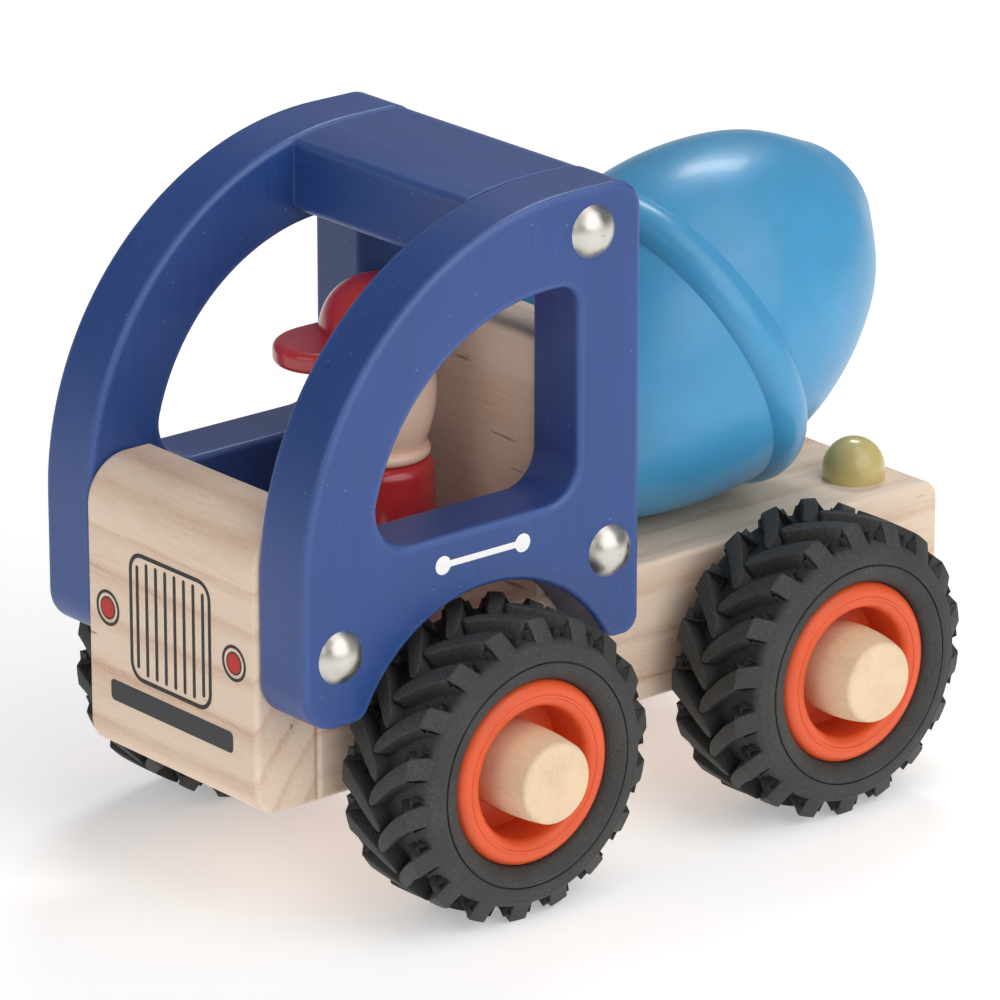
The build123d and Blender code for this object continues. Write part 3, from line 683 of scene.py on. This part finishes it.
def cab_lacquer(colours, name, along):
    """Royal blue nitro lacquer on pine: satin, with the grain's fine lines telegraphing through.

    Edges carry a paler blue line, a painted highlight on their rounding with a little thinned
    paint, and the film carries a few specks of dust.
    """
    material, tree, shader = new_finish(
        name, Roughness=0.42, IOR=1.48, Coat_Weight=0.12, Coat_Roughness=0.22)
    base = np.array(linear(colours.cab_blue))
    grain = add_node(
        tree, "ShaderNodeTexNoise",
        {"Vector": stretched(tree, along, 22.0), "Scale": 1 / (0.7 * MM), "Detail": 3.0,
         "Roughness": 0.65})
    cloud = add_node(
        tree, "ShaderNodeTexNoise",
        {"Vector": stretched(tree, along, 2.0), "Scale": 1 / (16.7 * MM), "Detail": 2.0})
    film = add_node(
        tree, "ShaderNodeMath", {0: grain.outputs["Fac"], 1: 0.55}, operation="MULTIPLY")
    tone = add_node(
        tree, "ShaderNodeMath", {0: cloud.outputs["Fac"], 1: 0.45, 2: film.outputs[0]},
        operation="MULTIPLY_ADD")
    blue = add_node(
        tree, "ShaderNodeValToRGB", {"Fac": tone.outputs[0]},
        stops=[(0.3, (base * 0.84).tolist()), (0.5, base.tolist()),
               (0.72, (base * 1.1 + 0.006).tolist())])
    dust_cells = add_node(
        tree, "ShaderNodeTexVoronoi",
        {"Vector": stretched(tree, along, 1.0), "Scale": 1 / (3.4 * MM)})
    dust = add_node(
        tree, "ShaderNodeValToRGB", {"Fac": dust_cells.outputs["Distance"]},
        stops=[(0.035, grey(0.35)), (0.055, grey(0.0))])
    # the rounded normal leaves the true one only within half a millimetre of an edge
    eased = add_node(tree, "ShaderNodeBevel", {"Radius": 1.3 * MM}, samples=4)
    true = add_node(tree, "ShaderNodeNewGeometry")
    level = add_node(
        tree, "ShaderNodeVectorMath", {0: eased.outputs["Normal"], 1: true.outputs["Normal"]},
        operation="DOT_PRODUCT")
    # painted highlight with a little wear: edges are mixed towards a paler blue where the rounded
    # normal leaves the true one, standing in for light caught on the rounding
    edge_wear_and_highlight = add_node(
        tree, "ShaderNodeMapRange",
        {"Value": level.outputs["Value"], "From Min": 0.995, "From Max": 0.92, "To Max": 0.65})
    blue_with_edge_wear_and_highlight = add_node(
        tree, "ShaderNodeMix",
        {MIX_FACTOR: edge_wear_and_highlight.outputs["Result"], MIX_A: blue.outputs["Color"],
         MIX_B: linear("#6F8BC4")}, data_type="RGBA")
    dusty = add_node(
        tree, "ShaderNodeMix",
        {MIX_FACTOR: dust.outputs["Color"], MIX_A: blue_with_edge_wear_and_highlight.outputs[MIX_RESULT],
         MIX_B: linear("#A9B8DA")}, data_type="RGBA")
    tree.links.new(dusty.outputs[MIX_RESULT], shader.inputs["Base Color"])
    satin = add_node(
        tree, "ShaderNodeMapRange",
        {"Value": grain.outputs["Fac"], "To Min": 0.34, "To Max": 0.52})
    tree.links.new(satin.outputs["Result"], shader.inputs["Roughness"])
    bump = add_node(
        tree, "ShaderNodeBump",
        {"Strength": 0.5, "Distance": 0.05 * MM, "Height": film.outputs[0]})
    tree.links.new(bump.outputs["Normal"], shader.inputs["Normal"])
    return material


def turned_lacquer(name, colour, roughness=0.28, peel=0.9, coat=0.5, mottle=0.06):
    """Coloured lacquer on a turned wooden piece: glossy, with the orange peel of a dipped coat."""
    material, tree, shader = new_finish(
        name, Roughness=roughness, IOR=1.5, Coat_Weight=coat, Coat_Roughness=0.12)
    base = np.array(linear(colour))
    place = stretched(tree, "x", 1.0)
    cloud = add_node(
        tree, "ShaderNodeTexNoise", {"Vector": place, "Scale": 1 / (11.1 * MM), "Detail": 3.0})
    paint = add_node(
        tree, "ShaderNodeValToRGB", {"Fac": cloud.outputs["Fac"]},
        stops=[(0.3, (base * (1 - mottle)).tolist()),
               (0.7, (base * (1 + mottle)).clip(0, 1).tolist())])
    tree.links.new(paint.outputs["Color"], shader.inputs["Base Color"])
    skin = add_node(
        tree, "ShaderNodeTexNoise",
        {"Vector": place, "Scale": 1 / (peel * MM), "Detail": 2.0, "Roughness": 0.5})
    bump = add_node(
        tree, "ShaderNodeBump",
        {"Strength": 0.4, "Distance": 0.045 * MM, "Height": skin.outputs["Fac"]})
    tree.links.new(bump.outputs["Normal"], shader.inputs["Normal"])
    return material


def turned_beech(colours, name="turned_beech"):
    """Beech turned on a lathe and left bare: pale, matt, with short brown ray flecks."""
    material, tree, shader = new_finish(name, Roughness=0.6, IOR=1.45)
    base = np.array(linear(colours.beech_pale))
    fibre = add_node(
        tree, "ShaderNodeTexNoise",
        {"Vector": stretched(tree, "x", 5.0), "Scale": 1 / (0.45 * MM), "Detail": 3.0,
         "Roughness": 0.7})
    cloud = add_node(
        tree, "ShaderNodeTexNoise",
        {"Vector": stretched(tree, "x", 1.5), "Scale": 1 / (6.25 * MM)})
    tone = add_node(
        tree, "ShaderNodeMath", {0: cloud.outputs["Fac"], 1: 0.5}, operation="MULTIPLY")
    mixed = add_node(
        tree, "ShaderNodeMath", {0: fibre.outputs["Fac"], 1: 0.5, 2: tone.outputs[0]},
        operation="MULTIPLY_ADD")
    wood = add_node(
        tree, "ShaderNodeValToRGB", {"Fac": mixed.outputs[0]},
        stops=[(0.34, (base * 1.05).clip(0, 1).tolist()), (0.55, (base * 0.93).tolist()),
               (0.75, (base * (0.78, 0.7, 0.62, 1)).tolist())])
    tree.links.new(wood.outputs["Color"], shader.inputs["Base Color"])
    bump = add_node(
        tree, "ShaderNodeBump",
        {"Strength": 0.5, "Distance": 0.05 * MM, "Height": fibre.outputs["Fac"]})
    tree.links.new(bump.outputs["Normal"], shader.inputs["Normal"])
    return material


def orange_plastic(colours):
    """Polypropylene, injection moulded: even orange, satin, with a faint spark-eroded grain.

    The grain is drawn 0.35 mm wide, coarser than the real one, so that it shows.
    """
    material, tree, shader = new_finish(
        "orange_polypropylene", Roughness=0.38, IOR=1.49, Subsurface_Weight=0.06,
        Subsurface_Radius=(1.0 * MM, 0.35 * MM, 0.12 * MM), Subsurface_Scale=1.0)
    base = np.array(linear(colours.rim_orange))
    place = stretched(tree, "x", 1.0)
    cloud = add_node(
        tree, "ShaderNodeTexNoise", {"Vector": place, "Scale": 1 / (7.15 * MM), "Detail": 2.0})
    tint = add_node(
        tree, "ShaderNodeValToRGB", {"Fac": cloud.outputs["Fac"]},
        stops=[(0.3, (base * 0.94).tolist()), (0.7, (base * 1.04).clip(0, 1).tolist())])
    tree.links.new(tint.outputs["Color"], shader.inputs["Base Color"])
    grain = add_node(
        tree, "ShaderNodeTexNoise", {"Vector": place, "Scale": 1 / (0.35 * MM), "Detail": 2.0})
    bump = add_node(
        tree, "ShaderNodeBump",
        {"Strength": 0.25, "Distance": 0.02 * MM, "Height": grain.outputs["Fac"]})
    tree.links.new(bump.outputs["Normal"], shader.inputs["Normal"])
    return material


def tread_rubber(colours):
    """Thermoplastic rubber, moulded in a blasted mould: charcoal, matt and finely grainy.

    The mould's grit is drawn 0.4 mm wide, coarser than the real one, so that it shows.
    """
    material, tree, shader = new_finish("tread_rubber", Roughness=0.62, IOR=1.5)
    base = np.array(linear(colours.rubber_grey))
    place = stretched(tree, "x", 1.0)
    grit = add_node(
        tree, "ShaderNodeTexNoise",
        {"Vector": place, "Scale": 1 / (0.4 * MM), "Detail": 3.0, "Roughness": 0.75})
    cloud = add_node(
        tree, "ShaderNodeTexNoise", {"Vector": place, "Scale": 1 / (8.33 * MM), "Detail": 3.0})
    share = add_node(
        tree, "ShaderNodeMath", {0: cloud.outputs["Fac"], 1: 0.25}, operation="MULTIPLY")
    tone = add_node(
        tree, "ShaderNodeMath", {0: grit.outputs["Fac"], 1: 0.75, 2: share.outputs[0]},
        operation="MULTIPLY_ADD")
    black = add_node(
        tree, "ShaderNodeValToRGB", {"Fac": tone.outputs[0]},
        stops=[(0.38, (base * 0.66).tolist()), (0.5, base.tolist()),
               (0.6, (base * 1.35 + 0.004).tolist()), (0.69, (base * 1.9 + 0.02).tolist())])
    tree.links.new(black.outputs["Color"], shader.inputs["Base Color"])
    matt = add_node(
        tree, "ShaderNodeMapRange",
        {"Value": grit.outputs["Fac"], "To Min": 0.5, "To Max": 0.78})
    tree.links.new(matt.outputs["Result"], shader.inputs["Roughness"])
    bump = add_node(
        tree, "ShaderNodeBump",
        {"Strength": 0.8, "Distance": 0.08 * MM, "Height": grit.outputs["Fac"]})
    tree.links.new(bump.outputs["Normal"], shader.inputs["Normal"])
    return material


def plated_steel(name, tint, roughness, scratch):
    """Steel, cold-headed and nickel plated, or drawn bright.

    Fine scratches, one every few tenths of a millimetre, blur its reflections.
    """
    material, tree, shader = new_finish(name, Metallic=1.0, Roughness=roughness)
    base = np.array(linear(tint))
    place = stretched(tree, "x", 1.0)
    cloud = add_node(
        tree, "ShaderNodeTexNoise", {"Vector": place, "Scale": 1 / (2.38 * MM), "Detail": 4.0})
    metal = add_node(
        tree, "ShaderNodeValToRGB", {"Fac": cloud.outputs["Fac"]},
        stops=[(0.3, (base * 0.86).tolist()), (0.7, base.tolist())])
    tree.links.new(metal.outputs["Color"], shader.inputs["Base Color"])
    rub = add_node(
        tree, "ShaderNodeMapRange",
        {"Value": cloud.outputs["Fac"], "From Min": 0.3, "From Max": 0.7,
         "To Min": roughness - 0.06, "To Max": roughness + 0.12})
    tree.links.new(rub.outputs["Result"], shader.inputs["Roughness"])
    dents = add_node(
        tree, "ShaderNodeTexNoise", {"Vector": place, "Scale": 1 / (scratch * MM), "Detail": 3.0})
    bump = add_node(
        tree, "ShaderNodeBump",
        {"Strength": 0.4, "Distance": 0.04 * MM, "Height": dents.outputs["Fac"]})
    tree.links.new(bump.outputs["Normal"], shader.inputs["Normal"])
    return material


def printing_ink(name, colour):
    """Pad-printing ink on wood: matt, a little thin where the grain took it up."""
    material, tree, shader = new_finish(name, Roughness=0.6)
    base = np.array(linear(colour))
    grain = add_node(
        tree, "ShaderNodeTexNoise",
        {"Vector": stretched(tree, "x", 4.0), "Scale": 1 / (0.5 * MM), "Detail": 3.0})
    ink = add_node(
        tree, "ShaderNodeValToRGB", {"Fac": grain.outputs["Fac"]},
        stops=[(0.3, (base * 0.93).tolist()), (0.6, base.tolist())])
    tree.links.new(ink.outputs["Color"], shader.inputs["Base Color"])
    return material


def nylon_disc(name="nylon"):
    """Nylon washer, punched: milky, waxy and slightly see-through at its edges."""
    material, tree, shader = new_finish(name, Roughness=0.4, IOR=1.53)
    cloud = add_node(
        tree, "ShaderNodeTexNoise",
        {"Vector": stretched(tree, "x", 1.0), "Scale": 1 / (3.33 * MM)})
    milk = add_node(
        tree, "ShaderNodeValToRGB", {"Fac": cloud.outputs["Fac"]},
        stops=[(0.3, linear("#DAD7CE")), (0.7, linear("#ECEAE3"))])
    tree.links.new(milk.outputs["Color"], shader.inputs["Base Color"])
    return material


class MIXER_OT_finishes(bpy.types.Operator):
    """Give every CAD piece its finish"""

    bl_idname = "mixer.finishes"
    bl_label = "Finishes"

    def execute(self, context):
        colours = context.scene.mixer_colours
        nose_middle = middle("nose_block")
        chassis_middle = middle("chassis")
        wall_middle = middle("cab_rear_wall")
        boards = cab_lacquer(colours, "royal_blue_lacquer", "z")
        red = turned_lacquer("red_lacquer", colours.driver_red, roughness=0.3)
        olive = turned_lacquer("olive_lacquer", colours.peg_olive, roughness=0.3)
        beech = turned_beech(colours)
        nails = plated_steel("nickel_plated_nail", "#DCD8CF", 0.33, 0.8)
        dowels = turned_beech(colours, "beech_dowel")
        washers = nylon_disc()
        finishes = {
            "chassis": pine_board(
                colours, "pine_chassis", "y", (-30, 0, chassis_middle[2] + 55)),
            "nose_block": pine_board(
                colours, "pine_nose", "x", (0, nose_middle[1] + 45, nose_middle[2] - 50)),
            "cab_rear_wall": pine_board(
                colours, "pine_wall", "x", (0, wall_middle[1] + 60, wall_middle[2] + 10)),
            "drum_support": pine_board(colours, "pine_support", "y", (20, 0, 10)),
            "cab_side_left": boards,
            "cab_side_right": boards,
            "roof_beam": cab_lacquer(colours, "royal_blue_lacquer_beam", "x"),
            "drum": turned_lacquer(
                "sky_blue_lacquer", colours.drum_blue, roughness=0.34, peel=1.1, coat=0.1),
            "driver_body": red,
            "driver_cap": red,
            "driver_head": turned_lacquer("peach_lacquer", colours.face_peach, roughness=0.34),
            "tail_peg_left": olive,
            "tail_peg_right": olive,
            "cab_nails_left": nails,
            "cab_nails_right": nails,
            "nose_dowels": dowels,
            "wall_dowels": dowels,
            "driver_dowel": dowels,
            "drum_axle": beech,
            "drum_washer": washers,
            "wheel_washers": washers,
        }
        axle = plated_steel("axle_steel", "#B9B9B7", 0.3, 1.5)
        for end in ("front", "rear"):
            finishes[end + "_axle"] = axle
        rim = orange_plastic(colours)
        for corner in WHEELS:
            finishes["rim_" + corner] = rim
            finishes["hub_cap_" + corner] = beech
        for node, material in finishes.items():
            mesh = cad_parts[node].data
            mesh.materials.clear()
            mesh.materials.append(material)
        return {"FINISHED"}


# ---- stage ----

def look_from(position, target):
    """Rotation that looks from position to target."""
    from_to = target - position
    return from_to.to_track_quat("-Z", "Y")


def softbox(name, azimuth, elevation, distance, size, power, target):
    """An oblong area light beside the truck, aimed at it."""
    light = bpy.data.lights.new(name, "AREA")
    light.shape = "RECTANGLE"
    light.size, light.size_y = size
    light.energy = power
    lamp = bpy.data.objects.new(name, light)
    lamp.location = target + direction(azimuth, elevation) * distance
    lamp.rotation_mode = "QUATERNION"
    lamp.rotation_quaternion = look_from(lamp.location, target)
    bpy.context.scene.collection.objects.link(lamp)


def direction(azimuth, elevation):
    """Unit vector from the truck: azimuth 0 is before the nose, 90 is on the truck's left."""
    a, e = math.radians(azimuth), math.radians(elevation)
    return Vector((math.sin(a) * math.cos(e), -math.cos(a) * math.cos(e), math.sin(e)))


class MIXER_OT_stage(bpy.types.Operator):
    """Set up the floor, the lights and the camera"""

    bl_idname = "mixer.stage"
    bl_label = "Stage"

    def execute(self, context):
        scene = context.scene
        stage = scene.mixer_stage

        camera = bpy.data.cameras.new("studio_camera")
        camera.lens = stage.lens
        camera.clip_start = 0.05
        camera.clip_end = 20
        view = bpy.data.objects.new("studio_camera", camera)
        aim = Vector((
            (cad_low.x + cad_high.x) / 2 + stage.aim_aside, cad_low.y + stage.aim_behind_nose,
            stage.aim_height))
        view.location = aim + direction(stage.azimuth, stage.elevation) * stage.distance
        view.rotation_mode = "QUATERNION"
        view.rotation_quaternion = look_from(view.location, aim)
        scene.collection.objects.link(view)
        scene.camera = view

        # a sheet of paper that glows by itself, painted light that lightens the shadows on it: flat
        # under the truck, its far rim curling up by the square of the way past the flat part
        half_size, flat_radius, curl = 3.0, 2.2, 0.2      # metres, metres, 1 / metre
        under_wheels = 0.02                               # millimetres
        span = np.linspace(-half_size, half_size, 61) / MM
        x, y = np.meshgrid(span, span, indexing="ij")
        rise = np.clip(np.hypot(x, y) * MM - flat_radius, 0, None) ** 2 * curl / MM
        grid = np.stack([x, y, rise - under_wheels], axis=-1)
        index = np.arange(x.size).reshape(x.shape)
        quads = np.stack(
            [index[:-1, :-1], index[1:, :-1], index[1:, 1:], index[:-1, 1:]], axis=-1)
        floor = write_mesh("paper_floor", grid.reshape(-1, 3), quads.reshape(-1, 4).tolist())
        # the emission is painted light that fills in the floor's shadows
        paper = new_finish(
            "glowing_white_paper", Roughness=0.85, Base_Color=(0.95, 0.95, 0.95, 1),
            Emission_Color=(1.0, 1.0, 1.0, 1), Emission_Strength=stage.floor_glow)[0]
        floor.data.materials.append(paper)

        world = bpy.data.worlds.new("soft_room")
        world.use_nodes = True
        room = world.node_tree.nodes["Background"]
        room.inputs["Color"].default_value = (1.0, 1.0, 1.0, 1)
        room.inputs["Strength"].default_value = stage.ambient
        scene.world = world

        target = Vector((0, 0, cad_high.z / 2))
        # azimuth, elevation, distance and size in metres
        softbox("softbox_top", -138, 52, 1.3, (0.42, 0.2), stage.top_light, target)
        softbox("softbox_overhead", 108, 66, 1.5, (1.1, 1.1), stage.over_light, target)
        softbox("softbox_side", 92, 30, 1.7, (1.9, 1.4), stage.side_light, target)
        softbox("softbox_front", 8, 30, 1.6, (0.9, 0.9), stage.front_light, target)

        scene.view_settings.view_transform = "Standard"
        scene.view_settings.look = "None"
        return {"FINISHED"}


# ---- panel and registration ----

class MIXER_PT_panel(bpy.types.Panel):
    """The mixer's settings and steps"""

    bl_idname = "MIXER_PT_panel"
    bl_label = "Cement Mixer"
    bl_space_type = "VIEW_3D"
    bl_region_type = "UI"
    bl_category = "Mixer"

    def draw(self, context):
        scene = context.scene
        for group in (scene.mixer_sizes, scene.mixer_colours, scene.mixer_stage):
            box = self.layout.box()
            for name in group.__annotations__:
                box.prop(group, name)
        for operator in STEPS:
            self.layout.operator(operator.bl_idname)


GROUPS = (MixerSizes, MixerColours, MixerStage)
STEPS = (
    MIXER_OT_stage,
    MIXER_OT_finishes,
    MIXER_OT_tyres,
    MIXER_OT_rim_rings,
    MIXER_OT_nose_print,
    MIXER_OT_side_stripes,
)


def register():
    for made in (*GROUPS, *STEPS, MIXER_PT_panel):
        bpy.utils.register_class(made)
    bpy.types.Scene.mixer_sizes = bpy.props.PointerProperty(type=MixerSizes)
    bpy.types.Scene.mixer_colours = bpy.props.PointerProperty(type=MixerColours)
    bpy.types.Scene.mixer_stage = bpy.props.PointerProperty(type=MixerStage)


def unregister():
    del bpy.types.Scene.mixer_stage
    del bpy.types.Scene.mixer_colours
    del bpy.types.Scene.mixer_sizes
    for made in reversed((*GROUPS, *STEPS, MIXER_PT_panel)):
        bpy.utils.unregister_class(made)


def main():
    register()
    for step in STEPS:
        group, name = step.bl_idname.split(".")
        getattr(getattr(bpy.ops, group), name)()


if __name__ == "__main__":
    main()
